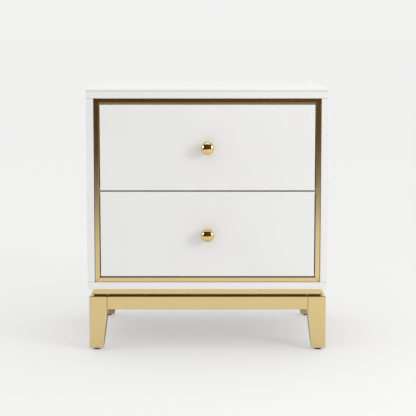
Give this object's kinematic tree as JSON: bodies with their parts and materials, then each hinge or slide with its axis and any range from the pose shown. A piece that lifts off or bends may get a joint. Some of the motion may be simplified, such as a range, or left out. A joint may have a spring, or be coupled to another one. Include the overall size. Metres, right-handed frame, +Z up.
{
  "type": "nightstand",
  "caption": "Square white nightstand with stacked drawers on ball-bearing slides, round knobs, a mitred gold trim round the front and a gold metal base with tapered legs.",
  "frame": {"origin": "on the floor, under the middle of the box round the whole nightstand, knobs included", "axes": "+Z up, the drawers open towards -Y, +X to the right when facing the drawers"},
  "size_m": [0.508, 0.4408, 0.558],
  "materials": {
    "white_lacquer": "satin",
    "gold_plated_steel": "satin",
    "gold_anodised_aluminium": "satin",
    "polished_brass": "polished",
    "raw_fibreboard": "matte",
    "birch_plywood": "satin",
    "zinc_plated_steel": "satin",
    "brown_nylon": "matte"
  },
  "bodies": {
    "cabinet": {"top_slab": "white_lacquer", "carcass_top": "white_lacquer", "bottom_panel": "white_lacquer", "side_panel_left": "white_lacquer", "side_panel_right": "white_lacquer", "back_panel": "white_lacquer", "divider_rail": "raw_fibreboard", "trim_left": "gold_anodised_aluminium", "trim_right": "gold_anodised_aluminium", "trim_top": "gold_anodised_aluminium", "trim_bottom": "gold_anodised_aluminium", "divider_strip": "gold_anodised_aluminium", "leg_front_left": "gold_plated_steel", "leg_front_right": "gold_plated_steel", "leg_rear_left": "gold_plated_steel", "leg_rear_right": "gold_plated_steel", "glide_front_left": "brown_nylon", "glide_front_right": "brown_nylon", "glide_rear_left": "brown_nylon", "glide_rear_right": "brown_nylon", "base_rail_front": "gold_plated_steel", "base_rail_rear": "gold_plated_steel", "base_rail_left": "gold_plated_steel", "base_rail_right": "gold_plated_steel", "plinth_front": "gold_anodised_aluminium", "plinth_rear": "gold_anodised_aluminium", "plinth_left": "gold_anodised_aluminium", "plinth_right": "gold_anodised_aluminium", "upper_packer_left": "raw_fibreboard", "upper_packer_right": "raw_fibreboard", "upper_cabinet_member_left": "zinc_plated_steel", "upper_cabinet_member_right": "zinc_plated_steel", "lower_packer_left": "raw_fibreboard", "lower_packer_right": "raw_fibreboard", "lower_cabinet_member_left": "zinc_plated_steel", "lower_cabinet_member_right": "zinc_plated_steel"},
    "upper_drawer": {"upper_drawer_front": "white_lacquer", "upper_box_side_left": "birch_plywood", "upper_box_side_right": "birch_plywood", "upper_box_front": "birch_plywood", "upper_box_back": "birch_plywood", "upper_box_bottom": "birch_plywood", "upper_knob": "polished_brass", "upper_knob_screw": "zinc_plated_steel", "upper_drawer_member_left": "zinc_plated_steel", "upper_drawer_member_right": "zinc_plated_steel"},
    "upper_runners": {"upper_middle_member_left": "zinc_plated_steel", "upper_middle_member_right": "zinc_plated_steel"},
    "lower_drawer": {"lower_drawer_front": "white_lacquer", "lower_box_side_left": "birch_plywood", "lower_box_side_right": "birch_plywood", "lower_box_front": "birch_plywood", "lower_box_back": "birch_plywood", "lower_box_bottom": "birch_plywood", "lower_knob": "polished_brass", "lower_knob_screw": "zinc_plated_steel", "lower_drawer_member_left": "zinc_plated_steel", "lower_drawer_member_right": "zinc_plated_steel"},
    "lower_runners": {"lower_middle_member_left": "zinc_plated_steel", "lower_middle_member_right": "zinc_plated_steel"}
  },
  "joints": [
    {"name": "upper_drawer_slide", "type": "slide", "parent": "cabinet", "child": "upper_drawer", "axis": [0, -1, 0], "range_m": [0, 0.33]},
    {"name": "upper_runner_slide", "type": "slide", "parent": "cabinet", "child": "upper_runners", "axis": [0, -1, 0], "range_m": [0, 0.165]},
    {"name": "lower_drawer_slide", "type": "slide", "parent": "cabinet", "child": "lower_drawer", "axis": [0, -1, 0], "range_m": [0, 0.33]},
    {"name": "lower_runner_slide", "type": "slide", "parent": "cabinet", "child": "lower_runners", "axis": [0, -1, 0], "range_m": [0, 0.165]}
  ],
  "couplings": [
    {"joint": "upper_runner_slide", "follows": "upper_drawer_slide", "ratio": 0.5},
    {"joint": "lower_runner_slide", "follows": "lower_drawer_slide", "ratio": 0.5}
  ]
}
